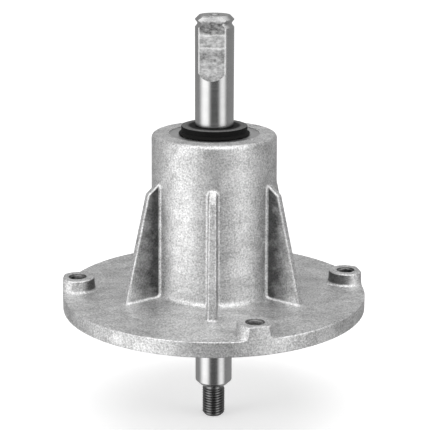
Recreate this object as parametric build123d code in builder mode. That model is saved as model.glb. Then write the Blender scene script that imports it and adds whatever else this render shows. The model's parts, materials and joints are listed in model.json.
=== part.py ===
from build123d import *

import os
from math import cos, radians, sin, sqrt, tan

# A mower deck spindle: a cast flanged housing, two sealed ball bearings and the shaft they carry.
# Millimetres. The origin is on the shaft's axis, in the flange's seating face, with +Z up the hub.
# The front of the spindle, where the shaft has its flat, looks along -Y.

os.makedirs("parts", exist_ok=True)

touch = 0.001                   # places closer together than this are the same place

# Housing casting: flange and hub
flange_radius = 80.0
flange_thickness = 8.0          # at the rim
flange_slope_reach = 28.6       # beyond the hub, to where the top starts to rise
flange_rise = 1.6               # from there up to the hub's foot
rim_rounding = 0.5
hub_height = 93.0               # top face above the seating face
hub_radius = 32.4               # at the top, before the draft widens it
hub_draft = 0.5                 # degrees
hub_top_rounding = 2.2
hub_foot_fillet = 3.0
spot_face_margin = 4.65         # machined ring on the top face, beyond the dust seal's lip
spot_face_depth = 0.5

# Ribs between the hub and the flange
rib_front_angle = -91.1         # degrees from +X
rib_side_step = 60.0            # degrees from the front rib to its neighbours
rib_rear_step = 125.0           # degrees from the front rib to the next two
rib_thickness = 4.8
rib_draft = 0.25                # degrees, each side
rib_foot_spread = 20.2          # beyond the hub, at the flange
rib_shoulder_spread = 6.6       # beyond the hub, at the shoulder
rib_top_drop = 22.5             # below the hub's top face
rib_shoulder_drop = 5.5         # below the rib's top
rib_edge_rounding = 1.1
rib_root_fillet = 1.8

# Bosses with tapped holes: one wide gap between them, the others even
boss_count = 4
boss_inset = 7.6                # middle of a boss from the flange's rim
boss_height = 6.75              # above the flange
boss_radius = 8.9               # at the top
boss_draft = 3.0                # degrees
boss_top_rounding = 0.8
boss_foot_fillet = 2.0
boss_first_angle = -180.0       # degrees from +X
boss_wide_gap = 106.0           # degrees between the first two bosses
tapped_hole_radius = 4.0        # M8
tapped_hole_chamfer = 0.85
tapped_hole_mouth_angle = 90.0  # degrees

# Bore of the housing
bore_mouth_chamfer = 1.0
ring_groove_height = 4.25       # lower wall of the retaining ring's groove
ring_groove_depth = 1.25        # beyond the bearing seat
seat_margin = 2.5               # bearing seat beyond the bearing's inner end
core_clearance = 1.5            # cored middle beyond the seats
lip_thickness = 5.0             # metal over the upper bearing
lip_relief_depth = 1.5
lip_width = 3.1                 # where the lip bears on the outer ring
seat_clearance = 0.01           # pressed rings in their seats

# Ball bearings
bearing_outer_radius = 23.5
bearing_width = 14.0
bearing_edge_rounding = 0.9
land_gap = 5.1                  # between the two rings
ball_count = 8
ball_radius = 3.97
race_easing = 0.13              # race radius over the ball's
race_clearance = 0.03           # between a ball and each race
cage_land_clearance = 0.5
cage_back_thickness = 1.0
cage_pocket_clearance = 0.12
cage_prong_height = 1.6         # beyond the balls' middle
cage_slot_width = 2.2
cage_slot_depth = 3.0
seal_thickness = 1.1
seal_inset = 0.4                # below the bearing's face
seal_groove_depth = 0.7
seal_lip_clearance = 0.15
seal_web_recess = 0.35
seal_rim_width = 0.9

# Retaining ring
ring_thickness = 1.75
ring_side_clearance = 0.1
ring_radial_clearance = 0.15
ring_width = 3.9                # opposite the gap
ring_narrowing = 0.7            # the inner edge is off centre by this much
ring_gap = 9.0
ring_lug_radius = 2.4
ring_lug_inset = 3.0            # lug holes from the outer edge
ring_lug_hole_radius = 1.25

# Shaft
shaft_radius = 10.0             # at the bearings and above them
shaft_reach = 60.9              # above the hub
profile_angle = 192.0           # degrees from +X, to the left and a little forward
shoulder_height = 3.0           # thicker middle, between the bearings
shoulder_chamfer = 0.5
top_chamfer = 2.1
snap_groove_drop = 4.2          # middle of the groove below the shaft's top
snap_groove_depth = 1.15
snap_groove_floor = 0.8
snap_groove_mouth = 3.7
flat_depth = 2.9
flat_length = 32.6
flat_cutter_radius = 8.7
flat_turn = -10.4               # degrees from the front, towards -X
journal_drop = 43.4             # lower journal's end below the seating face
journal_easing = 0.2            # lower journal under the bearing seat's radius
journal_chamfer = 0.8
seat_lead = 0.3                 # bearing seat below the lower bearing
stub_length = 19.9
thread_radius = 6.0             # M12 x 1.5
thread_end_chamfer = 1.4
neck_depth = 1.0                # relief between thread and journal
neck_width = 3.5
centre_hole_radius = 2.5
centre_hole_depth = 4.2
centre_pilot_radius = 1.0
centre_hole_angle = 60.0        # degrees

# Dust seal
dust_seal_radius = 17.1
dust_seal_stand = 4.0           # above the hub's top face
dust_seal_shoulder = 0.8        # upright wall above the flare
dust_seal_flare = 1.75          # lip beyond the body
dust_seal_lip_wall = 0.95
dust_seal_lip_height = 1.2      # upright edge of the lip
dust_seal_running_gap = 0.3     # between the lip and the spot face
dust_seal_hollow_drop = 2.0     # roof of the hollow below the seal's top
dust_seal_hollow_width = 2.0
dust_seal_spigot_wall = 3.2
dust_seal_spigot_gap = 2.3      # to the hole in the housing
dust_seal_edge_rounding = 0.35
dust_seal_bead_depth = 0.5      # bead at the seal's top, in a groove of the shaft
dust_seal_bead_height = 1.2
dust_seal_bead_clearance = 0.3  # groove above the bead

# Heights, from the seating face up
lower_bearing_floor = ring_groove_height + ring_thickness
lower_bearing_top = lower_bearing_floor + bearing_width
upper_bearing_top = hub_height - lip_thickness
upper_bearing_floor = upper_bearing_top - bearing_width
spot_face_height = hub_height - spot_face_depth
ring_groove_top = lower_bearing_floor + ring_side_clearance
boss_top = flange_thickness + boss_height
hub_foot_height = flange_thickness + flange_rise
rib_base = flange_thickness / 2
rib_top = hub_height - rib_top_drop
rib_shoulder = rib_top - rib_shoulder_drop
shaft_top = hub_height + shaft_reach
thread_end = -journal_drop - stub_length
dust_seal_top = hub_height + dust_seal_stand
bead_floor = dust_seal_top - dust_seal_bead_height

# Radii, from the axis out
bearing_bore_radius = shaft_radius + seat_clearance
pitch_radius = (shaft_radius + bearing_outer_radius) / 2
inner_land_radius = pitch_radius - land_gap / 2
outer_land_radius = pitch_radius + land_gap / 2
race_radius = ball_radius + race_easing
race_offset = race_radius - ball_radius - race_clearance
seat_radius = bearing_outer_radius + seat_clearance
core_radius = seat_radius + core_clearance
ring_groove_radius = seat_radius + ring_groove_depth
ring_outer_radius = ring_groove_radius - ring_radial_clearance
hub_foot_radius = hub_radius + (hub_height - hub_foot_height) * tan(radians(hub_draft))
shoulder_radius = shaft_radius + shoulder_height
journal_radius = shaft_radius - journal_easing
neck_radius = thread_radius - neck_depth
spigot_radius = bearing_bore_radius + dust_seal_spigot_wall
seal_hole_radius = spigot_radius + dust_seal_spigot_gap
dust_lip_radius = dust_seal_radius + dust_seal_flare
spot_face_radius = dust_lip_radius + spot_face_margin

# Bosses, counted from the wide gap
boss_circle_radius = flange_radius - boss_inset
even_gap = (360.0 - boss_wide_gap) / (boss_count - 1)
boss_angles = [boss_first_angle] + [
    boss_first_angle + boss_wide_gap + number * even_gap for number in range(boss_count - 1)
]
boss_centres = [
    (boss_circle_radius * cos(radians(angle)), boss_circle_radius * sin(radians(angle)))
    for angle in boss_angles
]

# Ribs: one at the front, one at the back, and two pairs between them
rib_angles = [rib_front_angle, rib_front_angle + 180] + [
    rib_front_angle + side * step for side in (-1, 1) for step in (rib_side_step, rib_rear_step)
]


def upright_plane(height=0.0, turn=0.0):
    """Plane through the axis: x runs outwards, turned from +X, y upwards from the given height."""
    outwards = Vector(1, 0, 0).rotate(Axis.Z, turn)
    return Plane(origin=(0, 0, height), x_dir=outwards, z_dir=outwards.rotate(Axis.Z, -90))


# Rib: an upright plate with drafted sides, cut to its sloping outline
with BuildPart() as rib:
    rib_root = (hub_radius + core_radius) / 2
    rib_foot = hub_radius + rib_foot_spread
    top_slope = rib_shoulder_drop / rib_shoulder_spread
    with BuildSketch(Plane.XY.offset(rib_base)):
        with Locations(((rib_root + rib_foot) / 2, 0)):
            Rectangle(rib_foot - rib_root, rib_thickness)
    extrude(amount=hub_height, taper=rib_draft)
    with BuildSketch(upright_plane()):
        with BuildLine():
            Polyline(
                (rib_root, rib_base),
                (rib_foot, rib_base),
                (rib_foot, flange_thickness),
                (hub_radius + rib_shoulder_spread, rib_shoulder),
                (rib_root, rib_top + top_slope * (hub_radius - rib_root)),
                close=True,
            )
        make_face()
    extrude(amount=rib_thickness, both=True, mode=Mode.INTERSECT)
    shoulder_crease = rib.edges().filter_by(Axis.Y).sort_by_distance(
        (hub_radius + rib_shoulder_spread, 0, rib_shoulder)
    )[:1]
    fillet(shoulder_crease, radius=rib_edge_rounding)
    side_faces = rib.faces().filter_by(lambda face: abs(face.normal_at().Y) > sin(radians(45)))
    outer_edges = side_faces.edges().filter_by(
        lambda edge: edge.center().X > rib_root + rib_edge_rounding / 2
        and edge.center().Z > rib_base + rib_edge_rounding / 2
    )
    fillet(outer_edges, radius=rib_edge_rounding)

# Boss: a drafted button with a rounded top and a fillet down to the flange
with BuildPart() as boss:
    boss_foot_radius = boss_radius + boss_height * tan(radians(boss_draft))
    boss_plug_radius = boss_foot_radius + 2 * boss_foot_fillet
    with BuildSketch(upright_plane()) as boss_outline:
        with BuildLine():
            Polyline(
                (0, flange_thickness - boss_foot_fillet),
                (boss_plug_radius, flange_thickness - boss_foot_fillet),
                (boss_plug_radius, flange_thickness),
                (boss_foot_radius, flange_thickness),
                (boss_radius, boss_top),
                (0, boss_top),
                close=True,
            )
        make_face()
        fillet(
            boss_outline.vertices().sort_by_distance((boss_radius, boss_top))[:1],
            radius=boss_top_rounding,
        )
        fillet(
            boss_outline.vertices().sort_by_distance((boss_foot_radius, flange_thickness))[:1],
            radius=boss_foot_fillet,
        )
    revolve(axis=Axis.Z)

# Housing: one casting, machined inside
with BuildPart() as housing:
    with BuildSketch(upright_plane()) as body_outline:
        with BuildLine():
            Polyline(
                (0, 0),
                (flange_radius, 0),
                (flange_radius, flange_thickness),
                (hub_radius + flange_slope_reach, flange_thickness),
                (hub_foot_radius, hub_foot_height),
                (hub_radius, hub_height),
                (0, hub_height),
                close=True,
            )
        make_face()
        fillet(
            body_outline.vertices().sort_by_distance((hub_foot_radius, hub_foot_height))[:1],
            radius=hub_foot_fillet,
        )
        fillet(
            body_outline.vertices().sort_by_distance((hub_radius, hub_height))[:1],
            radius=hub_top_rounding,
        )
    revolve(axis=Axis.Z)
    with Locations(*[Location((0, 0, 0), (0, 0, angle)) for angle in rib_angles]):
        add(rib.part)
    fillet(housing.edges(Select.NEW), radius=rib_root_fillet)
    with Locations(*boss_centres):
        add(boss.part)
    with BuildSketch():
        Circle(flange_radius)
    extrude(amount=hub_height, mode=Mode.INTERSECT)
    rim_edges = housing.edges().filter_by(
        lambda edge: all(
            abs(Vector(point.X, point.Y).length - flange_radius) < touch and point.Z > rib_base
            for point in (edge @ 0, edge @ 0.5, edge @ 1)
        )
    )
    fillet(rim_edges, radius=rim_rounding)
    seating_rim = housing.faces().sort_by(Axis.Z)[0].outer_wire().edges()
    fillet(seating_rim, radius=rim_rounding)

    # Bore, from its mouth in the seating face up to the spot face
    with BuildSketch(upright_plane()):
        with BuildLine():
            Polyline(
                (0, 0),
                (seat_radius + bore_mouth_chamfer, 0),
                (seat_radius, bore_mouth_chamfer),
                (seat_radius, ring_groove_height),
                (ring_groove_radius, ring_groove_height),
                (ring_groove_radius, ring_groove_top),
                (seat_radius, ring_groove_top),
                (seat_radius, lower_bearing_top + seat_margin),
                (core_radius, lower_bearing_top + seat_margin + core_clearance),
                (core_radius, upper_bearing_floor - seat_margin - core_clearance),
                (seat_radius, upper_bearing_floor - seat_margin),
                (seat_radius, upper_bearing_top),
                (bearing_outer_radius - lip_width, upper_bearing_top),
                (bearing_outer_radius - lip_width, upper_bearing_top + lip_relief_depth),
                (seal_hole_radius, upper_bearing_top + lip_relief_depth),
                (seal_hole_radius, spot_face_height),
                (spot_face_radius, spot_face_height),
                (spot_face_radius, hub_height),
                (0, hub_height),
                close=True,
            )
        make_face()
    revolve(axis=Axis.Z, mode=Mode.SUBTRACT)

    # Tapped holes through the bosses and the flange, chamfered at both ends
    with Locations(*boss_centres):
        with Locations((0, 0, boss_top)):
            CounterSinkHole(
                tapped_hole_radius,
                tapped_hole_radius + tapped_hole_chamfer,
                counter_sink_angle=tapped_hole_mouth_angle,
            )
    lower_mouths = housing.edges().filter_by(GeomType.CIRCLE).filter_by(
        lambda edge: abs(edge.center().Z) < touch and edge.radius < boss_radius
    )
    chamfer(lower_mouths, length=tapped_hole_chamfer)
housing.part.label = "spindle_housing"
export_step(housing.part, "parts/spindle_housing.step")

# Retaining ring: wide at the back, with two lugs at its gap
with BuildPart() as retaining_ring:
    lug_x = ring_gap / 2 + ring_lug_radius
    lug_y = -sqrt((ring_outer_radius - ring_lug_inset) ** 2 - lug_x**2)
    with BuildSketch(Plane.XY.offset(ring_groove_height)):
        Circle(ring_outer_radius)
        with Locations((0, -ring_narrowing)):
            Circle(ring_outer_radius - ring_width + ring_narrowing, mode=Mode.SUBTRACT)
        Rectangle(ring_gap, ring_outer_radius, align=(Align.CENTER, Align.MAX), mode=Mode.SUBTRACT)
        with Locations((-lug_x, lug_y), (lug_x, lug_y)):
            Circle(ring_lug_radius)
            Circle(ring_lug_hole_radius, mode=Mode.SUBTRACT)
    extrude(amount=ring_thickness)
retaining_ring.part.label = "retaining_ring"
export_step(retaining_ring.part, "parts/retaining_ring.step")


def make_outer_ring(middle):
    """Outer ring: a round race inside, and at each side a step for a seal."""
    step_height = seal_inset + seal_thickness
    with BuildPart() as ring:
        with BuildSketch(upright_plane(middle)) as section:
            with Locations(((outer_land_radius + bearing_outer_radius) / 2, 0)):
                Rectangle(bearing_outer_radius - outer_land_radius, bearing_width)
            fillet(section.vertices().group_by(Axis.X)[-1], radius=bearing_edge_rounding)
            with Locations((pitch_radius - race_offset, 0)):
                Circle(race_radius, mode=Mode.SUBTRACT)
            for side in (-1, 1):
                with Locations((outer_land_radius, side * (bearing_width - step_height) / 2)):
                    Rectangle(2 * seal_groove_depth, step_height, mode=Mode.SUBTRACT)
        revolve(axis=Axis.Z)
    return ring.part


def make_inner_ring(middle):
    """Inner ring: a round race in its outer side."""
    with BuildPart() as ring:
        with BuildSketch(upright_plane(middle)) as section:
            with Locations(((bearing_bore_radius + inner_land_radius) / 2, 0)):
                Rectangle(inner_land_radius - bearing_bore_radius, bearing_width)
            fillet(section.vertices().group_by(Axis.X)[0], radius=bearing_edge_rounding)
            with Locations((pitch_radius + race_offset, 0)):
                Circle(race_radius, mode=Mode.SUBTRACT)
        revolve(axis=Axis.Z)
    return ring.part


def make_ball(middle, number):
    """One ball, in its place round the pitch circle."""
    angle = radians(number * 360 / ball_count)
    with BuildPart() as ball:
        with Locations((pitch_radius * cos(angle), pitch_radius * sin(angle), middle)):
            Sphere(ball_radius)
    return ball.part


def make_cage(middle):
    """Moulded cage: a ring behind the balls, with a pair of prongs round each."""
    pocket_radius = ball_radius + cage_pocket_clearance
    cage_floor = middle - pocket_radius - cage_back_thickness
    cage_top = middle + cage_prong_height
    with BuildPart() as cage:
        with BuildSketch(Plane.XY.offset(cage_floor)):
            Circle(outer_land_radius - cage_land_clearance)
            Circle(inner_land_radius + cage_land_clearance, mode=Mode.SUBTRACT)
        extrude(amount=cage_top - cage_floor)
        with Locations((0, 0, middle)):
            with PolarLocations(pitch_radius, ball_count):
                Sphere(pocket_radius, mode=Mode.SUBTRACT)
        with BuildSketch(Plane.XY.offset(cage_top)):
            with PolarLocations(pitch_radius, ball_count, start_angle=180 / ball_count):
                Rectangle(2 * land_gap, cage_slot_width)
        extrude(amount=-cage_slot_depth, mode=Mode.SUBTRACT)
    return cage.part


def make_bearing_seal(middle, side):
    """Thin moulded ring in the outer ring's step, with a rim at each edge of its web."""
    seal_inner_radius = inner_land_radius + seal_lip_clearance
    seal_outer_radius = outer_land_radius + seal_groove_depth - seat_clearance
    seal_middle = side * (bearing_width / 2 - seal_inset - seal_thickness / 2)
    seal_width = seal_outer_radius - seal_inner_radius
    with BuildPart() as seal:
        with BuildSketch(upright_plane(middle)):
            with Locations(((seal_inner_radius + seal_outer_radius) / 2, seal_middle)):
                Rectangle(seal_width, seal_thickness)
                with Locations((0, side * seal_thickness / 2)):
                    Rectangle(seal_width - 2 * seal_rim_width, 2 * seal_web_recess, mode=Mode.SUBTRACT)
        revolve(axis=Axis.Z)
    return seal.part


# Two bearings, from the same pieces
bearing_middles = {
    "lower": lower_bearing_floor + bearing_width / 2,
    "upper": upper_bearing_floor + bearing_width / 2,
}
for bearing_name, bearing_middle in bearing_middles.items():
    bearing_pieces = {
        "outer_ring": make_outer_ring(bearing_middle),
        "inner_ring": make_inner_ring(bearing_middle),
        "cage": make_cage(bearing_middle),
        "bottom_seal": make_bearing_seal(bearing_middle, -1),
        "top_seal": make_bearing_seal(bearing_middle, 1),
    }
    for number in range(ball_count):
        bearing_pieces[f"ball_{number + 1}"] = make_ball(bearing_middle, number)
    for piece_name, piece in bearing_pieces.items():
        piece.label = f"{bearing_name}_{piece_name}"
        export_step(piece, f"parts/{piece.label}.step")

# Shaft: turned all over, with a milled flat at its top
with BuildPart() as drive_shaft:
    cone_depth = (centre_hole_radius - centre_pilot_radius) / tan(radians(centre_hole_angle / 2))
    neck_end = -journal_drop - neck_width
    journal_top = lower_bearing_floor - seat_lead - journal_easing
    snap_groove_middle = shaft_top - snap_groove_drop
    snap_groove_radius = shaft_radius - snap_groove_depth
    with BuildSketch(upright_plane(turn=profile_angle)):
        with BuildLine():
            Polyline(
                (0, thread_end + centre_hole_depth),
                (centre_pilot_radius, thread_end + centre_hole_depth),
                (centre_pilot_radius, thread_end + cone_depth),
                (centre_hole_radius, thread_end),
                (thread_radius - thread_end_chamfer, thread_end),
                (thread_radius, thread_end + thread_end_chamfer),
                (thread_radius, neck_end - neck_depth),
                (neck_radius, neck_end),
                (neck_radius, -journal_drop),
                (journal_radius - journal_chamfer, -journal_drop),
                (journal_radius, -journal_drop + journal_chamfer),
                (journal_radius, journal_top),
                (shaft_radius, journal_top + journal_easing),
                (shaft_radius, lower_bearing_top),
                (shoulder_radius - shoulder_chamfer, lower_bearing_top),
                (shoulder_radius, lower_bearing_top + shoulder_chamfer),
                (shoulder_radius, upper_bearing_floor - shoulder_chamfer),
                (shoulder_radius - shoulder_chamfer, upper_bearing_floor),
                (shaft_radius, upper_bearing_floor),
                (shaft_radius, bead_floor),
                (shaft_radius - dust_seal_bead_depth, bead_floor),
                (shaft_radius - dust_seal_bead_depth, dust_seal_top + dust_seal_bead_clearance),
                (shaft_radius, dust_seal_top + dust_seal_bead_clearance),
                (shaft_radius, snap_groove_middle - snap_groove_mouth / 2),
                (snap_groove_radius, snap_groove_middle - snap_groove_floor / 2),
                (snap_groove_radius, snap_groove_middle + snap_groove_floor / 2),
                (shaft_radius, snap_groove_middle + snap_groove_mouth / 2),
                (shaft_radius, shaft_top - top_chamfer),
                (shaft_radius - top_chamfer, shaft_top),
                (centre_hole_radius, shaft_top),
                (centre_pilot_radius, shaft_top - cone_depth),
                (centre_pilot_radius, shaft_top - centre_hole_depth),
                (0, shaft_top - centre_hole_depth),
                close=True,
            )
        make_face()
    revolve(axis=Axis.Z)

    # The cutter comes down from the top and leaves its own radius where it stops
    flat_angle = radians(flat_turn)
    flat_side = Vector(cos(flat_angle), sin(flat_angle), 0)
    flat_normal = Vector(sin(flat_angle), -cos(flat_angle), 0)
    flat_plane = Plane(
        origin=flat_normal * (shaft_radius - flat_depth), x_dir=flat_side, z_dir=flat_normal
    )
    with BuildSketch(flat_plane):
        with Locations((0, shaft_top - flat_length + flat_cutter_radius)):
            Circle(flat_cutter_radius)
            Rectangle(2 * flat_cutter_radius, flat_length, align=(Align.CENTER, Align.MIN))
    extrude(amount=2 * flat_depth, mode=Mode.SUBTRACT)
drive_shaft.part.label = "drive_shaft"
export_step(drive_shaft.part, "parts/drive_shaft.step")

# Dust seal: a moulded ring that grips the shaft, with a flared lip over the spot face
with BuildPart() as dust_seal:
    bead_radius = bearing_bore_radius - dust_seal_bead_depth
    hollow_roof = dust_seal_top - dust_seal_hollow_drop
    lip_floor = spot_face_height + dust_seal_running_gap
    with BuildSketch(upright_plane()) as seal_outline:
        with BuildLine():
            Polyline(
                (bearing_bore_radius, upper_bearing_top),
                (spigot_radius, upper_bearing_top),
                (spigot_radius, hollow_roof),
                (spigot_radius + dust_seal_hollow_width, hollow_roof),
                (dust_lip_radius - dust_seal_lip_wall, lip_floor),
                (dust_lip_radius, lip_floor),
                (dust_lip_radius, lip_floor + dust_seal_lip_height),
                (dust_seal_radius, dust_seal_top - dust_seal_shoulder),
                (dust_seal_radius, dust_seal_top),
                (bead_radius, dust_seal_top),
                (bead_radius, bead_floor + seat_clearance),
                (bearing_bore_radius, bead_floor + seat_clearance),
                close=True,
            )
        make_face()
        fillet(
            seal_outline.vertices().sort_by_distance((dust_seal_radius, dust_seal_top))[:1],
            radius=dust_seal_edge_rounding,
        )
    revolve(axis=Axis.Z)
dust_seal.part.label = "dust_seal"
export_step(dust_seal.part, "parts/dust_seal.step")
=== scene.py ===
import json
import math

import bpy
from mathutils import Matrix, Vector


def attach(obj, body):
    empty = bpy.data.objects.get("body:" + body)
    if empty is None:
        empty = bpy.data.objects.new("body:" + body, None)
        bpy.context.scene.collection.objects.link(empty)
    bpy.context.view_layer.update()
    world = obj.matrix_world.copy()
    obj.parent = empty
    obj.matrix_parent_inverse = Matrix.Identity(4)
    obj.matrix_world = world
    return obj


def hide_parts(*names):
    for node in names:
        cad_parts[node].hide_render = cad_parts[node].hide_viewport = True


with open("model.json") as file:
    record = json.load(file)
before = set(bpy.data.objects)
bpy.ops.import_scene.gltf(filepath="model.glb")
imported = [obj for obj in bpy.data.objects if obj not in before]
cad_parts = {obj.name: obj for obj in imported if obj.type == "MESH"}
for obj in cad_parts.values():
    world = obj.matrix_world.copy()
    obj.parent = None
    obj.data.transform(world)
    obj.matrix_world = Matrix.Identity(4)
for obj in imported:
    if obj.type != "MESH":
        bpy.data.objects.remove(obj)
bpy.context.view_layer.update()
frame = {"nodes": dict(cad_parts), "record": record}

mm = 0.001              # the sizes below are in millimetres


def startClean():
    if bpy.context.object and bpy.context.object.mode != "OBJECT":
        bpy.ops.object.mode_set(mode="OBJECT")
    bpy.ops.object.select_all(action="DESELECT")


def selectOnly(piece):
    startClean()
    piece.select_set(True)
    bpy.context.view_layer.objects.active = piece


def place(*numbers):
    return Vector(numbers) * mm


def inMetres(pair):
    return [value * mm for value in pair]


def drawOutline(name, points):
    # a plane shrunk to one corner point, which is then pulled along the outline
    startClean()
    bpy.ops.mesh.primitive_plane_add(size=mm, location=(0, 0, 0))
    piece = bpy.context.object
    piece.name = name
    bpy.ops.object.mode_set(mode="EDIT")
    bpy.ops.mesh.select_mode(type="VERT")
    bpy.ops.mesh.select_all(action="SELECT")
    bpy.ops.mesh.merge(type="CENTER")
    bpy.ops.transform.translate(value=points[0])
    for start, end in zip(points, points[1:]):
        bpy.ops.mesh.extrude_region_move(TRANSFORM_OT_translate={"value": end - start})
    return piece


def closeSurface():
    bpy.ops.mesh.select_all(action="SELECT")
    bpy.ops.mesh.remove_doubles(threshold=0.001 * mm)
    bpy.ops.mesh.normals_make_consistent(inside=False)


def turnOutline(name, points, steps):
    piece = drawOutline(name, points)
    bpy.ops.mesh.select_all(action="SELECT")
    bpy.ops.mesh.spin(steps=steps, angle=2 * math.pi, center=(0, 0, 0), axis=(0, 0, 1))
    closeSurface()
    bpy.ops.object.mode_set(mode="OBJECT")
    return piece


def easeCorners(corners, radius):
    # each corner off the axis becomes a small arc of four points
    eased = [corners[0]]
    for before, corner, after in zip(corners, corners[1:], corners[2:]):
        toBefore, toAfter = (before - corner), (after - corner)
        turn = math.pi - toBefore.angle(toAfter)
        reach = min(radius * math.tan(turn / 2), 0.4 * toBefore.length, 0.4 * toAfter.length)
        if turn < math.radians(5) or corner.x < 0.01 * mm:
            eased.append(corner)
            continue
        start = corner + toBefore.normalized() * reach
        end = corner + toAfter.normalized() * reach
        for share in (0, 1 / 3, 2 / 3, 1):
            eased.append(start * (1 - share) ** 2 + corner * 2 * share * (1 - share) + end * share ** 2)
    return eased + [corners[-1]]


def applyModifier(piece, kind, **settings):
    selectOnly(piece)
    modifier = piece.modifiers.new(kind.title(), kind)
    for name, value in settings.items():
        setattr(modifier, name, value)
    bpy.ops.object.modifier_apply(modifier=modifier.name)


def combine(piece, other, operation):
    applyModifier(piece, "BOOLEAN", operation=operation, object=other, solver="EXACT")
    bpy.data.objects.remove(other)


def finishShading(piece, degrees):
    selectOnly(piece)
    bpy.ops.object.shade_smooth_by_angle(angle=math.radians(degrees))
    applyModifier(piece, "WEIGHTED_NORMAL", keep_sharp=True)


def cutLevel(height, keepAbove):
    bpy.ops.mesh.select_all(action="SELECT")
    bpy.ops.mesh.bisect(
        plane_co=place(0, 0, height),
        plane_no=(0, 0, 1),
        use_fill=True,
        clear_inner=keepAbove,
        clear_outer=not keepAbove,
    )


# Shaft: one turned outline from the top centre hole down to the core of the threaded stub

shaft = {
    "radius": 10.0,
    "shoulderRadius": 13.0,
    "journalRadius": 9.8,
    "neckRadius": 5.2,
    "threadRadius": 6.0,
    "top": 153.9,
    "topChamfer": 2.1,
    "grooveMiddle": 149.7,
    "grooveDepth": 1.15,
    "grooveFloor": 0.8,
    "grooveMouth": 3.7,
    "beadFloor": 95.8,
    "beadGrooveTop": 97.3,
    "beadDepth": 0.5,
    "upperBearingFloor": 74.0,
    "lowerBearingTop": 20.0,
    "shoulderChamfer": 0.5,
    "seatStart": 5.7,
    "journalEnd": -45.3,
    "journalChamfer": 2.4,
    "threadStart": -47.4,
    "threadEnd": -63.3,
    "centreHoleRadius": 2.5,
    "centreHoleDepth": 4.2,
    "centrePilotRadius": 1.0,
    "centreConeDepth": 2.6,
    "easing": 0.16,             # every corner of the turned outline is rounded this much
    "steps": 160,
    "smoothDegrees": 35,
}


def makeShaftBody():
    grooveLow = shaft["grooveMiddle"] - shaft["grooveMouth"] / 2
    grooveHigh = shaft["grooveMiddle"] + shaft["grooveMouth"] / 2
    floorLow = shaft["grooveMiddle"] - shaft["grooveFloor"] / 2
    floorHigh = shaft["grooveMiddle"] + shaft["grooveFloor"] / 2
    step = shaft["radius"] - shaft["journalRadius"]
    coreEnd = shaft["threadEnd"] + 2 * shaft["centreHoleDepth"]
    corners = (
        (0, shaft["top"] - shaft["centreHoleDepth"]),
        (shaft["centrePilotRadius"], shaft["top"] - shaft["centreHoleDepth"]),
        (shaft["centrePilotRadius"], shaft["top"] - shaft["centreConeDepth"]),
        (shaft["centreHoleRadius"], shaft["top"]),
        (shaft["radius"] - shaft["topChamfer"], shaft["top"]),
        (shaft["radius"], shaft["top"] - shaft["topChamfer"]),
        (shaft["radius"], grooveHigh),
        (shaft["radius"] - shaft["grooveDepth"], floorHigh),
        (shaft["radius"] - shaft["grooveDepth"], floorLow),
        (shaft["radius"], grooveLow),
        (shaft["radius"], shaft["beadGrooveTop"]),
        (shaft["radius"] - shaft["beadDepth"], shaft["beadGrooveTop"]),
        (shaft["radius"] - shaft["beadDepth"], shaft["beadFloor"]),
        (shaft["radius"], shaft["beadFloor"]),
        (shaft["radius"], shaft["upperBearingFloor"]),
        (shaft["shoulderRadius"] - shaft["shoulderChamfer"], shaft["upperBearingFloor"]),
        (shaft["shoulderRadius"], shaft["upperBearingFloor"] - shaft["shoulderChamfer"]),
        (shaft["shoulderRadius"], shaft["lowerBearingTop"] + shaft["shoulderChamfer"]),
        (shaft["shoulderRadius"] - shaft["shoulderChamfer"], shaft["lowerBearingTop"]),
        (shaft["radius"], shaft["lowerBearingTop"]),
        (shaft["radius"], shaft["seatStart"]),
        (shaft["journalRadius"], shaft["seatStart"] - step),
        (shaft["journalRadius"], shaft["journalEnd"] + shaft["journalChamfer"]),
        (shaft["journalRadius"] - shaft["journalChamfer"], shaft["journalEnd"]),
        (shaft["neckRadius"], shaft["journalEnd"]),
        (shaft["neckRadius"], coreEnd),
        (0, coreEnd),
    )
    outline = easeCorners([place(x, 0, z) for x, z in corners], shaft["easing"] * mm)
    return turnOutline("driveShaft", outline, shaft["steps"])


shaftFlat = {
    "turnDegrees": -10.4,       # from the front, towards -X
    "depth": 2.9,
    "length": 32.6,
    "cutterRadius": 8.7,
    "arcSteps": 40,
    "tone": (0.42, 0.85),
    "roughness": (0.4, 0.55),
    "blotchSize": 1.6,
    "markSize": 0.9,
    "edgeStart": 9.3,           # painted highlight along its long edges, from this far off the axis
    "edgeHighlight": 0.7,
    "reflectionBands": (                  # painted reflection bands: low and high end, softness, change of tone
        (151.3, 153.2, 0.3, 0.3),
        (144.8, 150.8, 0.5, -0.28),
        (143.7, 144.5, 0.25, 0.3),
        (137.5, 138.3, 0.25, 0.3),
        (131.0, 137.0, 1.5, -0.14),
    ),
}


def makeFlatCutter():
    # a tunnel shape: straight sides from above, and the cutter's own radius at the bottom
    radius, steps = shaftFlat["cutterRadius"], shaftFlat["arcSteps"]
    arcMiddle = shaft["top"] - shaftFlat["length"] + radius
    angles = [math.pi * (1 + n / steps) for n in range(steps + 1)]
    points = [(-radius, shaft["top"] + radius)]
    points += [(radius * math.cos(a), arcMiddle + radius * math.sin(a)) for a in angles]
    points += [(radius, shaft["top"] + radius), points[0]]
    face = -(shaft["radius"] - shaftFlat["depth"])
    cutter = drawOutline("flatCutter", [place(x, face, z) for x, z in points])
    bpy.ops.mesh.select_all(action="SELECT")
    bpy.ops.mesh.remove_doubles(threshold=0.001 * mm)
    bpy.ops.mesh.edge_face_add()
    outwards = place(0, -2 * shaftFlat["depth"], 0)
    bpy.ops.mesh.extrude_region_move(TRANSFORM_OT_translate={"value": outwards})
    closeSurface()
    turn = Matrix.Rotation(math.radians(shaftFlat["turnDegrees"]), 4, "Z")
    bpy.ops.object.mode_set(mode="OBJECT")
    cutter.data.transform(turn)
    return cutter


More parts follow.
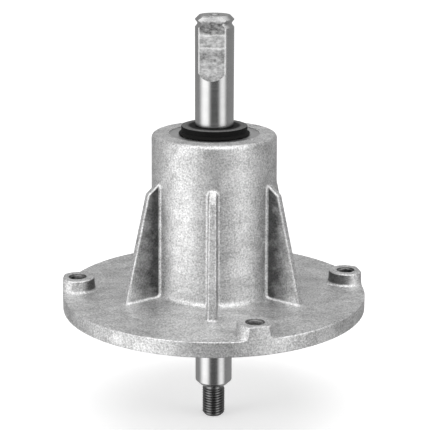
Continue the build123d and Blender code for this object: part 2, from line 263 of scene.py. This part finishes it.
stubThread = {
    "pitch": 1.5,
    "depth": 0.86,
    "crest": 0.24,
    "root": 0.34,
    "endChamfer": 1.4,
    "startCone": 0.7,
    "steps": 64,
    "coreSteps": 96,
}


def makeStubThread():
    # one turn's outline, wound up the stub, cut level at both ends and pared to the chamfered stub
    pitch, depth = stubThread["pitch"], stubThread["depth"]
    flank = (pitch - stubThread["crest"] - stubThread["root"]) / 2
    crest, root = shaft["threadRadius"], shaft["threadRadius"] - depth
    heights = (0, stubThread["root"], stubThread["root"] + flank, pitch - flank, pitch)
    radii = (root, root, crest, crest, root)
    start = shaft["threadEnd"] - 2 * pitch
    turns = math.ceil((shaft["threadStart"] - start) / pitch) + 2
    thread = drawOutline("stubThread", [place(r, 0, start + h) for r, h in zip(radii, heights)])
    bpy.ops.object.mode_set(mode="OBJECT")
    applyModifier(
        thread,
        "SCREW",
        screw_offset=pitch * mm,
        iterations=turns,
        steps=stubThread["steps"],
        render_steps=stubThread["steps"],
        use_merge_vertices=True,
        merge_threshold=0.001 * mm,
    )
    bpy.ops.object.mode_set(mode="EDIT")
    closeSurface()
    cutLevel(shaft["threadEnd"] - pitch / 2, True)
    cutLevel(shaft["threadStart"] + pitch / 2, False)
    closeSurface()
    bpy.ops.object.mode_set(mode="OBJECT")
    chamfer = stubThread["endChamfer"]
    corners = (
        (0, shaft["threadEnd"] + shaft["centreHoleDepth"]),
        (shaft["centrePilotRadius"], shaft["threadEnd"] + shaft["centreHoleDepth"]),
        (shaft["centrePilotRadius"], shaft["threadEnd"] + shaft["centreConeDepth"]),
        (shaft["centreHoleRadius"], shaft["threadEnd"]),
        (shaft["threadRadius"] - chamfer, shaft["threadEnd"]),
        (shaft["threadRadius"], shaft["threadEnd"] + chamfer),
        (shaft["threadRadius"], shaft["threadStart"] - stubThread["startCone"]),
        (shaft["neckRadius"], shaft["threadStart"]),
        (0, shaft["threadStart"]),
    )
    stub = turnOutline("stubShape", [place(x, 0, z) for x, z in corners], stubThread["coreSteps"])
    combine(thread, stub, "INTERSECT")
    return thread


dustSeal = {
    "radius": 17.1,
    "top": 97.0,
    "flareTop": 94.1,
    "lipRadius": 18.4,
    "lipTop": 93.2,
    "lipFloor": 92.8,
    "lipWall": 0.95,
    "spigotRadius": 13.2,
    "spigotFloor": 88.0,
    "hollowRoof": 95.0,
    "hollowWidth": 2.0,
    "beadFloor": 95.9,
    "easing": 0.35,
    "steps": 128,
    "smoothDegrees": 35,
}


def makeDustSeal():
    # upright wall and a small flared lip over the hub, a spigot down the shaft and a bead in its groove
    bead = shaft["radius"] - shaft["beadDepth"]
    corners = (
        (shaft["radius"], dustSeal["spigotFloor"]),
        (dustSeal["spigotRadius"], dustSeal["spigotFloor"]),
        (dustSeal["spigotRadius"], dustSeal["hollowRoof"]),
        (dustSeal["spigotRadius"] + dustSeal["hollowWidth"], dustSeal["hollowRoof"]),
        (dustSeal["lipRadius"] - dustSeal["lipWall"], dustSeal["lipFloor"]),
        (dustSeal["lipRadius"], dustSeal["lipFloor"]),
        (dustSeal["lipRadius"], dustSeal["lipTop"]),
        (dustSeal["radius"], dustSeal["flareTop"]),
        (dustSeal["radius"], dustSeal["top"]),
        (bead, dustSeal["top"]),
        (bead, dustSeal["beadFloor"]),
        (shaft["radius"], dustSeal["beadFloor"]),
        (shaft["radius"], dustSeal["spigotFloor"]),
    )
    outline = easeCorners([place(x, 0, z) for x, z in corners], dustSeal["easing"] * mm)
    seal = turnOutline("dustSeal", outline, dustSeal["steps"])
    finishShading(seal, dustSeal["smoothDegrees"])
    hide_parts("dust_seal")
    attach(seal, "rotor")
    return seal


holeThread = {
    "pitch": 1.25,
    "outer": 4.02,
    "inner": 3.42,
    "tip": 0.16,
    "foot": 1.1,
    "bottom": 0.7,              # the turns stay between these, short of both mouths
    "top": 13.85,
    "steps": 48,
    "smoothDegrees": 30,
    "circle": 72.4,             # the holes' middles, from the axis
    "count": 4,
    "firstDegrees": -180.0,     # from +X
    "wideGapDegrees": 106.0,    # between the first two, with even gaps between the others
}


def holeMiddles():
    evenGap = (360 - holeThread["wideGapDegrees"]) / (holeThread["count"] - 1)
    turns = [0] + [holeThread["wideGapDegrees"] + n * evenGap for n in range(holeThread["count"] - 1)]
    angles = [math.radians(holeThread["firstDegrees"] + turn) for turn in turns]
    radius = holeThread["circle"]
    return [place(radius * math.cos(angle), radius * math.sin(angle), 0) for angle in angles]


def makeHoleThread(number, middle):
    half, tip = holeThread["foot"] / 2, holeThread["tip"] / 2
    pitch = holeThread["pitch"]
    start = holeThread["bottom"] + half
    turns = math.floor((holeThread["top"] - half - start) / pitch)
    points = (
        (holeThread["outer"], start - half),
        (holeThread["inner"], start - tip),
        (holeThread["inner"], start + tip),
        (holeThread["outer"], start + half),
        (holeThread["outer"], start - half),
    )
    ridge = drawOutline(f"tappedHoleThread{number}", [place(r, 0, h) for r, h in points])
    bpy.ops.mesh.select_all(action="SELECT")
    bpy.ops.mesh.remove_doubles(threshold=0.001 * mm)
    bpy.ops.object.mode_set(mode="OBJECT")
    applyModifier(
        ridge,
        "SCREW",
        screw_offset=pitch * mm,
        iterations=turns,
        steps=holeThread["steps"],
        render_steps=holeThread["steps"],
        use_merge_vertices=True,
        merge_threshold=0.001 * mm,
    )
    bpy.ops.object.mode_set(mode="EDIT")
    bpy.ops.mesh.select_all(action="SELECT")
    bpy.ops.mesh.fill_holes(sides=6)
    closeSurface()
    bpy.ops.mesh.select_all(action="SELECT")
    bpy.ops.transform.translate(value=middle)
    bpy.ops.object.mode_set(mode="OBJECT")
    finishShading(ridge, holeThread["smoothDegrees"])
    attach(ridge, "housing")
    return ridge


# Materials: small helpers that put nodes into a tree and join them

def startMaterial(name, colour, metallic, roughness):
    made = bpy.data.materials.new(name)
    made.use_nodes = True
    tree = made.node_tree
    shader = tree.nodes["Principled BSDF"]
    shader.inputs["Base Color"].default_value = (*colour, 1)
    shader.inputs["Metallic"].default_value = metallic
    shader.inputs["Roughness"].default_value = roughness
    return made, tree, shader


def addNode(tree, kind, inputs=(), **settings):
    node = tree.nodes.new(kind)
    for name, value in settings.items():
        setattr(node, name, value)
    for key, value in dict(inputs).items():
        if isinstance(value, bpy.types.NodeSocket):
            tree.links.new(value, node.inputs[key])
        else:
            node.inputs[key].default_value = value
    return node


def calculate(tree, operation, first, second=0.0, third=0.0):
    inputs = {0: first, 1: second, 2: third}
    return addNode(tree, "ShaderNodeMath", inputs, operation=operation).outputs[0]


def objectPlace(tree):
    return addNode(tree, "ShaderNodeTexCoord").outputs["Object"]


def noise(tree, size, detail=2.0, roughness=0.5, stretch=(1, 1, 1), distortion=0.0):
    # size is the width of a patch in millimetres
    spot = addNode(tree, "ShaderNodeMapping", {"Vector": objectPlace(tree), "Scale": stretch})
    made = addNode(
        tree,
        "ShaderNodeTexNoise",
        {
            "Vector": spot.outputs[0],
            "Scale": 1 / (size * mm),
            "Detail": detail,
            "Roughness": roughness,
            "Distortion": distortion,
        },
    )
    return made.outputs["Fac"]


def spread(tree, value, fromLow, fromHigh, toLow, toHigh, smooth=False):
    made = addNode(
        tree,
        "ShaderNodeMapRange",
        {"Value": value, "From Min": fromLow, "From Max": fromHigh, "To Min": toLow, "To Max": toHigh},
        interpolation_type="SMOOTHSTEP" if smooth else "LINEAR",
    )
    return made.outputs[0]


def mixColours(tree, share, first, second):
    return addNode(tree, "ShaderNodeMix", {0: share, 6: first, 7: second}, data_type="RGBA").outputs[2]


def mixValues(tree, share, first, second):
    return addNode(tree, "ShaderNodeMix", {0: share, 2: first, 3: second}, data_type="FLOAT").outputs[0]


def ringWave(tree, along, pitch):
    return calculate(tree, "SINE", calculate(tree, "MULTIPLY", along, 2 * math.pi / (pitch * mm)))


def grey(level):
    return (level, level, level, 1)


def greyTone(tree, shade):
    return addNode(tree, "ShaderNodeCombineColor", {0: shade, 1: shade, 2: shade}).outputs[0]


def splitAxes(tree, vector):
    return addNode(tree, "ShaderNodeSeparateXYZ", {0: vector}).outputs


def combineVectors(tree, operation, first, second=(0, 0, 0)):
    inputs = {0: first, 1: second}
    return addNode(tree, "ShaderNodeVectorMath", inputs, operation=operation).outputs


def aroundAxis(tree):
    # the place in plan, the distance from the axis and the height
    axes = splitAxes(tree, objectPlace(tree))
    flat = addNode(tree, "ShaderNodeCombineXYZ", {0: axes[0], 1: axes[1]}).outputs[0]
    return flat, combineVectors(tree, "LENGTH", flat)["Value"], axes[2]


def between(tree, value, low, high, softness):
    rise = spread(tree, value, low - softness, low + softness, 0.0, 1.0, True)
    fall = spread(tree, value, high - softness, high + softness, 1.0, 0.0, True)
    return calculate(tree, "MULTIPLY", rise, fall)


def addBump(tree, height, strength, depth):
    inputs = {"Height": height, "Strength": strength, "Distance": depth * mm}
    return addNode(tree, "ShaderNodeBump", inputs).outputs[0]


casting = {
    "tone": (0.58, 0.78),
    "patchSize": 9,
    "speckle": 0.24,                    # lighter and darker by this much
    "speckleSize": 0.85,
    "roughness": (0.44, 0.54),
    "skinSize": 1.3,
    "grainSize": 0.4,
    "relief": 0.12,
    "machinedTone": 0.72,
    "machinedRoughness": 0.28,
    "toolPitch": 0.32,                  # from one ring of the tool to the next
    "toolRelief": 0.12,                 # share of the casting's relief
    "seatHeights": (0.03, 0.06),        # the machined seat ends between these
    "spotFaceHeights": (92.3, 92.7),
    "spotFaceRadius": 23.6,
    "boreRadius": 26.0,
    "boreTop": (91.0, 92.0),
    "edgeSoftness": (0.02, 0.05),       # of a machined place, up and outwards
    "cornerRadii": (36, 52),            # painted shade on the ribs' sides up to between these
    "cornerWander": 4,
    "bossRadii": (59, 61),              # the bosses start between these
    "bossShade": 0.9,
    "bossFacing": (-0.5, 0.3),          # painted shade where a flank looks towards the hub
    "bossSides": (40, 60),              # the painted shade is darker on the boss to the right of these
    "bossLean": (-0.35, 0.2),
    "holeRadii": (4.8, 4.88),           # painted shade in a tapped hole inside these
    "holeShade": 0.95,
    "threadRadii": (4.03, 4.08),        # its thread ends between these
    "firstTurnHeights": (12.2, 12.7),
    "firstTurnLight": 0.75,             # share of the painted shade taken off the first turn, as painted light on it
    "deepestShade": 0.16,                    # share of the tone left where the painted shade is deepest
}


def machinedPlaces(tree, reach, height):
    # the ring under the dust seal, the seating face and the bore
    softUp, softOut = inMetres(casting["edgeSoftness"])
    spotFace = calculate(
        tree,
        "MULTIPLY",
        between(tree, height, *inMetres(casting["spotFaceHeights"]), softUp),
        between(tree, reach, 0.0, casting["spotFaceRadius"] * mm, softOut),
    )
    seat = spread(tree, height, *inMetres(casting["seatHeights"]), 1.0, 0.0)
    bore = calculate(
        tree,
        "MULTIPLY",
        between(tree, reach, 0.0, casting["boreRadius"] * mm, softOut),
        spread(tree, height, *inMetres(casting["boreTop"]), 1.0, 0.0),
    )
    return calculate(tree, "MAXIMUM", calculate(tree, "MAXIMUM", spotFace, seat), bore)


def paintedShade(tree, flat, reach, height):
    # painted shade in corners that little light gets into: ribs near the hub, the bosses' flanks and
    # the tapped holes
    facing = addNode(tree, "ShaderNodeTexCoord").outputs["Normal"]
    outwards = combineVectors(tree, "NORMALIZE", flat)["Vector"]
    along = combineVectors(tree, "DOT_PRODUCT", outwards, facing)["Value"]
    level = calculate(tree, "ABSOLUTE", splitAxes(tree, facing)[2])
    upright = spread(tree, level, 0.2, 0.7, 1.0, 0.0, True)
    sideways = spread(tree, calculate(tree, "ABSOLUTE", along), 0.2, 0.6, 1.0, 0.0, True)
    wander = casting["cornerWander"] * mm
    wander = spread(tree, noise(tree, 7, 3.0, 0.6), 0.3, 0.7, -wander, wander)
    # painted shade on the ribs' upright sides, fading away from the hub
    nearHub = spread(
        tree, calculate(tree, "ADD", reach, wander), *inMetres(casting["cornerRadii"]), 1.0, 0.0
    )
    ribShade = calculate(tree, "MULTIPLY", calculate(tree, "MULTIPLY", sideways, upright), nearHub)

    # painted shade on the bosses' flanks
    lean = spread(tree, splitAxes(tree, flat)[0], *inMetres(casting["bossSides"]), *casting["bossLean"])
    towardsHub = spread(
        tree, calculate(tree, "SUBTRACT", along, lean), *casting["bossFacing"], 1.0, 0.0, True
    )
    beyond = spread(tree, reach, *inMetres(casting["bossRadii"]), 0.0, casting["bossShade"])
    flankShade = calculate(tree, "MULTIPLY", beyond, calculate(tree, "MULTIPLY", towardsHub, upright))
    shadeShare = calculate(tree, "MAXIMUM", ribShade, flankShade)

    # painted shade in each hole, with some painted light on the first turn of its thread
    firstTurn = spread(
        tree, height, *inMetres(casting["firstTurnHeights"]), 0.0, casting["firstTurnLight"]
    )
    for middle in holeMiddles():
        away = combineVectors(tree, "DISTANCE", flat, middle)["Value"]
        inHole = spread(tree, away, *inMetres(casting["holeRadii"]), casting["holeShade"], 0.0)
        onThread = spread(tree, away, *inMetres(casting["threadRadii"]), 1.0, 0.0)
        lit = calculate(tree, "MULTIPLY", onThread, firstTurn)
        inHole = calculate(tree, "MULTIPLY", inHole, calculate(tree, "SUBTRACT", 1.0, lit))
        shadeShare = calculate(tree, "MAXIMUM", shadeShare, inHole)
    return shadeShare


def castAluminium():
    made, tree, shader = startMaterial("castAluminium", (0.7, 0.7, 0.7), 1.0, 0.5)
    flat, reach, height = aroundAxis(tree)
    machined = machinedPlaces(tree, reach, height)

    patches = noise(tree, casting["patchSize"], 4.0, 0.65, (0.5, 1, 1), 0.6)
    speckle = noise(tree, casting["speckleSize"], 3.0, 0.7)
    shade = calculate(
        tree,
        "ADD",
        spread(tree, patches, 0.35, 0.65, *casting["tone"]),
        spread(tree, speckle, 0.35, 0.65, -casting["speckle"], casting["speckle"]),
    )
    shadeShare = paintedShade(tree, flat, reach, height)
    # painted shade darkens the tone in the corners, on the boss flanks and in the holes
    shade = calculate(tree, "MULTIPLY", shade, spread(tree, shadeShare, 0.0, 1.0, 1.0, casting["deepestShade"]))
    colour = mixColours(tree, machined, greyTone(tree, shade), grey(casting["machinedTone"]))
    tree.links.new(colour, shader.inputs["Base Color"])

    castRoughness = spread(tree, noise(tree, 6, 2.0, 0.5), 0.3, 0.7, *casting["roughness"])
    roughness = mixValues(tree, machined, castRoughness, casting["machinedRoughness"])
    tree.links.new(roughness, shader.inputs["Roughness"])

    skin = noise(tree, casting["skinSize"], 3.0, 0.6)
    grain = noise(tree, casting["grainSize"], 2.0, 0.6)
    castHeight = calculate(tree, "ADD", calculate(tree, "MULTIPLY", grain, 0.5), skin)
    rings = ringWave(tree, reach, casting["toolPitch"])
    rings = calculate(tree, "MULTIPLY", rings, casting["toolRelief"])
    surface = mixValues(tree, machined, castHeight, rings)
    tree.links.new(addBump(tree, surface, 0.9, casting["relief"]), shader.inputs["Normal"])
    return made


steels = {
    "shaftSteel": {"tone": 0.57, "roughness": 0.2, "ringPitch": 0.25, "ringStrength": 0.3},
    # the thread's steel is the shaft steel darkened: painted shade on the thread, neck and centre hole
    "shadedSteel": {"tone": 0.22, "roughness": 0.26, "ringPitch": 0.2, "ringStrength": 0.3},
    "bearingSteel": {"tone": 0.65, "roughness": 0.12, "ringPitch": 0.3, "ringStrength": 0.1},
    "springSteel": {"tone": 0.07, "roughness": 0.4, "ringPitch": 0.5, "ringStrength": 0.2},
}


def turnedSteel(name, tone, roughness, ringPitch, ringStrength):
    # fine rings of the lathe tool run round the axis
    made, tree, shader = startMaterial(name, (tone, tone, tone), 1.0, roughness)
    _, reach, height = aroundAxis(tree)
    wander = calculate(tree, "MULTIPLY", noise(tree, 9, 2.0, 0.5), 0.3 * mm)
    along = calculate(tree, "ADD", calculate(tree, "ADD", height, reach), wander)
    rings = ringWave(tree, along, ringPitch)
    scratches = noise(tree, 0.8, 2.0, 0.7, (0.05, 0.05, 3.0))
    shade = spread(tree, noise(tree, 11, 3.0, 0.6), 0.3, 0.7, tone - 0.03, tone + 0.03)
    tree.links.new(greyTone(tree, shade), shader.inputs["Base Color"])
    gloss = spread(tree, scratches, 0.3, 0.7, roughness - 0.05, roughness + 0.07)
    tree.links.new(gloss, shader.inputs["Roughness"])
    relief = calculate(tree, "ADD", calculate(tree, "MULTIPLY", rings, 0.3), scratches)
    tree.links.new(addBump(tree, relief, ringStrength, 0.01), shader.inputs["Normal"])
    return made


def milledSteel():
    # the flat's blotchy finish, with painted reflection bands down its length, bright ridges between
    # dull stretches, and a painted highlight along its long edges
    made, tree, shader = startMaterial("milledSteel", (0.7, 0.7, 0.7), 1.0, 0.45)
    _, reach, height = aroundAxis(tree)
    wavy = spread(tree, noise(tree, 3, 2.0, 0.5), 0.3, 0.7, -0.4 * mm, 0.4 * mm)
    level = calculate(tree, "ADD", height, wavy)
    blotches = noise(tree, shaftFlat["blotchSize"], 3.0, 0.7, (0.6, 0.6, 1))
    shade = spread(tree, blotches, 0.35, 0.65, *shaftFlat["tone"])
    for low, high, softness, change in shaftFlat["reflectionBands"]:
        band = between(tree, level, low * mm, high * mm, softness * mm)
        shade = calculate(tree, "MULTIPLY_ADD", band, change, shade)
    # painted highlight along the flat's long edges
    edge = inMetres((shaftFlat["edgeStart"], shaft["radius"]))
    shade = calculate(tree, "ADD", shade, spread(tree, reach, *edge, 0.0, shaftFlat["edgeHighlight"], True))
    tree.links.new(greyTone(tree, shade), shader.inputs["Base Color"])
    gloss = spread(tree, blotches, 0.3, 0.7, *shaftFlat["roughness"])
    tree.links.new(gloss, shader.inputs["Roughness"])
    marks = noise(tree, shaftFlat["markSize"], 2.0, 0.6, (1, 1, 0.6))
    tree.links.new(addBump(tree, marks, 0.6, 0.06), shader.inputs["Normal"])
    return made


rubbers = {
    "sealRubber": {"tone": 0.005, "roughness": 0.6, "grainSize": 0.35, "dustLevel": 0.125},
    "bearingRubber": {"tone": 0.02, "roughness": 0.55, "grainSize": 0.5, "dustLevel": 0.0},
}
shaftShadeRadii = (12.5, 14.5)        # no dust inside these: painted shade where the shaft shades the seal


def mattRubber(name, tone, roughness, grainSize, dustLevel):
    made, tree, shader = startMaterial(name, (tone, tone, tone), 0.0, roughness)
    shader.inputs["Specular IOR Level"].default_value = 0.1
    grain = noise(tree, grainSize, 2.0, 0.6)
    bloom = noise(tree, 5, 3.0, 0.6)
    shade = calculate(
        tree,
        "ADD",
        spread(tree, bloom, 0.3, 0.7, tone * 0.8, tone * 1.3),
        spread(tree, grain, 0.3, 0.7, -0.15 * tone, 0.15 * tone),
    )
    # dust lies on level faces; near the shaft it is left out, as painted shade
    reach = aroundAxis(tree)[1]
    level = splitAxes(tree, addNode(tree, "ShaderNodeTexCoord").outputs["Normal"])[2]
    dust = calculate(
        tree,
        "MULTIPLY",
        spread(tree, level, 0.9, 0.98, 0.0, dustLevel, True),
        spread(tree, reach, *inMetres(shaftShadeRadii), 0.0, 1.0, True),
    )
    specks = spread(tree, noise(tree, 0.8, 3.0, 0.7), 0.35, 0.65, 0.5, 1.5)
    dust = calculate(tree, "MULTIPLY", dust, specks)
    shade = calculate(tree, "ADD", shade, dust)
    tree.links.new(greyTone(tree, shade), shader.inputs["Base Color"])
    gloss = spread(tree, bloom, 0.3, 0.7, roughness - 0.05, roughness + 0.08)
    tree.links.new(gloss, shader.inputs["Roughness"])
    tree.links.new(addBump(tree, grain, 0.5, 0.04), shader.inputs["Normal"])
    return made


def plainNylon():
    made, tree, shader = startMaterial("cageNylon", (0.72, 0.68, 0.57), 0.0, 0.45)
    cloud = noise(tree, 4, 2.0, 0.5)
    tone = mixColours(tree, cloud, (0.68, 0.64, 0.53, 1), (0.76, 0.72, 0.62, 1))
    tree.links.new(tone, shader.inputs["Base Color"])
    tree.links.new(addBump(tree, noise(tree, 0.6), 0.3, 0.02), shader.inputs["Normal"])
    return made


def dress(piece, *materials):
    piece.data.materials.clear()
    for material in materials:
        piece.data.materials.append(material)


def shaftFinish(face):
    # 0 is turned steel, 1 the thread and centre hole in a darker copy of it, painted shade, 2 the
    # milled flat
    angle = math.radians(shaftFlat["turnDegrees"])
    flatNormal = Vector((math.sin(angle), -math.cos(angle), 0))
    offFlat = face.center.dot(flatNormal) - (shaft["radius"] - shaftFlat["depth"]) * mm
    if abs(offFlat) < 0.01 * mm and face.normal.dot(flatNormal) > 0.99:
        return 2
    holeRadius = 0.98 * shaft["centreHoleRadius"] * mm
    inHole = face.center.z > 0 and face.normal.z < 0.95 and face.center.xy.length < holeRadius
    onStub = face.center.z < (shaft["journalEnd"] - 0.1) * mm
    return 1 if inHole or onStub else 0


# Camera at the photograph's angle

view = {
    "place": (0, -698.5, 243.0),
    "tiltDegrees": 74.473,      # 90 would look level
    "rollRadians": 0.003,
    "lens": 115.67,
    "shiftX": 0.0022,
}

print("camera")
cameraData = bpy.data.cameras.new("camera")
cameraData.lens = view["lens"]
cameraData.sensor_width = 36
cameraData.shift_x = view["shiftX"]
cameraData.clip_end = 100
camera = bpy.data.objects.new("camera", cameraData)
bpy.context.scene.collection.objects.link(camera)
tilt = Matrix.Rotation(math.radians(view["tiltDegrees"]), 4, "X")
roll = Matrix.Rotation(view["rollRadians"], 4, "Z")
camera.matrix_world = Matrix.Translation(place(*view["place"])) @ tilt @ roll
bpy.context.scene.camera = camera

# Shaft

print("drive shaft")
driveShaft = makeShaftBody()
combine(driveShaft, makeFlatCutter(), "DIFFERENCE")
combine(driveShaft, makeStubThread(), "UNION")
finishShading(driveShaft, shaft["smoothDegrees"])
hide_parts("drive_shaft")
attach(driveShaft, "rotor")

print("dust seal")
seal = makeDustSeal()

print("tapped hole threads")
holeThreads = [makeHoleThread(n, middle) for n, middle in enumerate(holeMiddles(), 1)]

# Materials on the pieces

print("materials")
steel = {name: turnedSteel(name, **settings) for name, settings in steels.items()}
aluminium = castAluminium()
milled = milledSteel()
rubber = {name: mattRubber(name, **settings) for name, settings in rubbers.items()}
nylon = plainNylon()

dress(driveShaft, steel["shaftSteel"], steel["shadedSteel"], milled)
dress(seal, rubber["sealRubber"])
for face in driveShaft.data.polygons:
    face.material_index = shaftFinish(face)

finishes = {
    "cast_aluminium": aluminium,
    "shaft_steel": steel["shaftSteel"],
    "bearing_steel": steel["bearingSteel"],
    "spring_steel": steel["springSteel"],
    "seal_rubber": rubber["sealRubber"],
    "bearing_seal_rubber": rubber["bearingRubber"],
    "cage_nylon": nylon,
}
slotOfNode = {row["node"]: row["material_slot"] for row in frame["record"]["subparts"]}
for name, node in frame["nodes"].items():
    for slot in node.material_slots:
        slot.material = finishes[slotOfNode[name]]
for ridge in holeThreads:
    dress(ridge, aluminium)

# Floor, studio and lamps

stage = {
    "floorSize": 12000.0,
    "floorDrop": 0.05,
    "floorColour": (0.8, 0.8, 0.8, 1),
    "floorGlow": 0.46,
    "tentRadius": 2500.0,
    "tentFront": 0.13,
    "tentBack": 0.36,
    "windows": (                        # degrees from the front, towards +X
        {"rise": (-104, -62), "fall": (-46, -16), "glow": 1.55},
        {"rise": (18, 46), "fall": (53, 82), "glow": 1.3},
    ),
    "roofGlow": 0.68,
    "frontGlow": 0.55,                  # over the camera, from the horizon up
    "frontTopGlow": 0.66,               # over the camera, high up
    "frontDegrees": (50.0, 100.0),      # the front ends between these, to each side
    "frontLevels": (0.0, 0.2),          # shares of the tent's radius, from the horizon up
    "frontTopLevels": (0.5, 0.7),
    "windowLevels": (-0.8, 0.7),
    "windowSoftness": 0.08,
    "roofLevels": (0.55, 0.85),
    "worldLight": 0.5,
}

lamps = (
    {"name": "keyLamp", "place": (-240, -1450, 4300), "size": 5600, "power": 140.0},
    {"name": "leftLamp", "place": (-1500, -700, 500), "size": 1000, "power": 8.0},
    {"name": "rightLamp", "place": (1500, -500, 500), "size": 1000, "power": 6.0},
)

print("studio")
startClean()
floorHeight = (shaft["threadEnd"] - stage["floorDrop"]) * mm
bpy.ops.mesh.primitive_plane_add(size=stage["floorSize"] * mm, location=(0, 0, floorHeight))
floor = bpy.context.object
floor.name = "floor"
floor.visible_glossy = False
floorPaint = bpy.data.materials.new("floorPaint")
floorPaint.use_nodes = True
tree = floorPaint.node_tree
tree.nodes.remove(tree.nodes["Principled BSDF"])
matt = addNode(tree, "ShaderNodeBsdfDiffuse", {"Color": stage["floorColour"]})
seen = addNode(tree, "ShaderNodeLightPath").outputs["Is Camera Ray"]
glow = addNode(
    tree, "ShaderNodeEmission", {"Strength": calculate(tree, "MULTIPLY", seen, stage["floorGlow"])}
)
both = addNode(tree, "ShaderNodeAddShader", {0: matt.outputs[0], 1: glow.outputs[0]})
tree.links.new(both.outputs[0], tree.nodes["Material Output"].inputs["Surface"])
dress(floor, floorPaint)

startClean()
bpy.ops.mesh.primitive_uv_sphere_add(
    segments=64, ring_count=32, radius=stage["tentRadius"] * mm, location=(0, 0, 0)
)
tent = bpy.context.object
tent.name = "tent"
tent.visible_camera = False
tent.visible_diffuse = False
tent.visible_transmission = False
tent.visible_shadow = False
tentCloth = bpy.data.materials.new("tentCloth")
tentCloth.use_nodes = True
tree = tentCloth.node_tree
tree.nodes.remove(tree.nodes["Principled BSDF"])
axes = splitAxes(tree, objectPlace(tree))
towardsFront = calculate(tree, "MULTIPLY", axes[1], -1.0)
bearing = calculate(tree, "DEGREES", calculate(tree, "ARCTAN2", axes[0], towardsFront))
panes = None
for window in stage["windows"]:
    rise = spread(tree, bearing, *window["rise"], 0.0, window["glow"], True)
    fall = spread(tree, bearing, *window["fall"], 1.0, 0.0, True)
    pane = calculate(tree, "MULTIPLY", rise, fall)
    panes = pane if panes is None else calculate(tree, "MAXIMUM", panes, pane)
level = calculate(tree, "DIVIDE", axes[2], stage["tentRadius"] * mm)
standing = between(tree, level, *stage["windowLevels"], stage["windowSoftness"])
panes = calculate(tree, "MULTIPLY", panes, standing)
roof = spread(tree, level, *stage["roofLevels"], 0.0, 1.0, True)
offFront = calculate(tree, "ABSOLUTE", bearing)
plain = spread(tree, offFront, *stage["frontDegrees"], stage["tentFront"], stage["tentBack"], True)
frontShare = calculate(
    tree,
    "MULTIPLY",
    spread(tree, offFront, *stage["frontDegrees"], 1.0, 0.0, True),
    spread(tree, level, *stage["frontLevels"], 0.0, 1.0, True),
)
panes = calculate(tree, "MAXIMUM", panes, calculate(tree, "MULTIPLY", frontShare, stage["frontGlow"]))
frontTop = spread(tree, level, *stage["frontTopLevels"], 0.0, stage["frontTopGlow"], True)
panes = calculate(tree, "MULTIPLY_ADD", frontShare, frontTop, panes)
walls = calculate(tree, "ADD", panes, plain)
brightness = calculate(tree, "MULTIPLY_ADD", roof, stage["roofGlow"], walls)
cloth = addNode(tree, "ShaderNodeEmission", {"Strength": brightness})
tree.links.new(cloth.outputs[0], tree.nodes["Material Output"].inputs["Surface"])
dress(tent, tentCloth)

for lamp in lamps:
    data = bpy.data.lights.new(lamp["name"], "AREA")
    data.shape = "SQUARE"
    data.size = lamp["size"] * mm
    data.energy = lamp["power"]
    made = bpy.data.objects.new(lamp["name"], data)
    bpy.context.scene.collection.objects.link(made)
    made.location = place(*lamp["place"])
    made.rotation_euler = (-made.location).to_track_quat("-Z", "Y").to_euler()
    made.visible_glossy = False

world = bpy.data.worlds.new("world")
bpy.context.scene.world = world
world.use_nodes = True
tree = world.node_tree
rays = addNode(tree, "ShaderNodeLightPath")
shown = calculate(tree, "MAXIMUM", rays.outputs["Is Camera Ray"], rays.outputs["Is Glossy Ray"])
shown = calculate(tree, "MAXIMUM", shown, rays.outputs["Is Transmission Ray"])
sky = tree.nodes["Background"]
sky.inputs["Color"].default_value = grey(1.0)
tree.links.new(spread(tree, shown, 0.0, 1.0, stage["worldLight"], 1.0), sky.inputs["Strength"])

bpy.context.scene.view_settings.view_transform = "Standard"
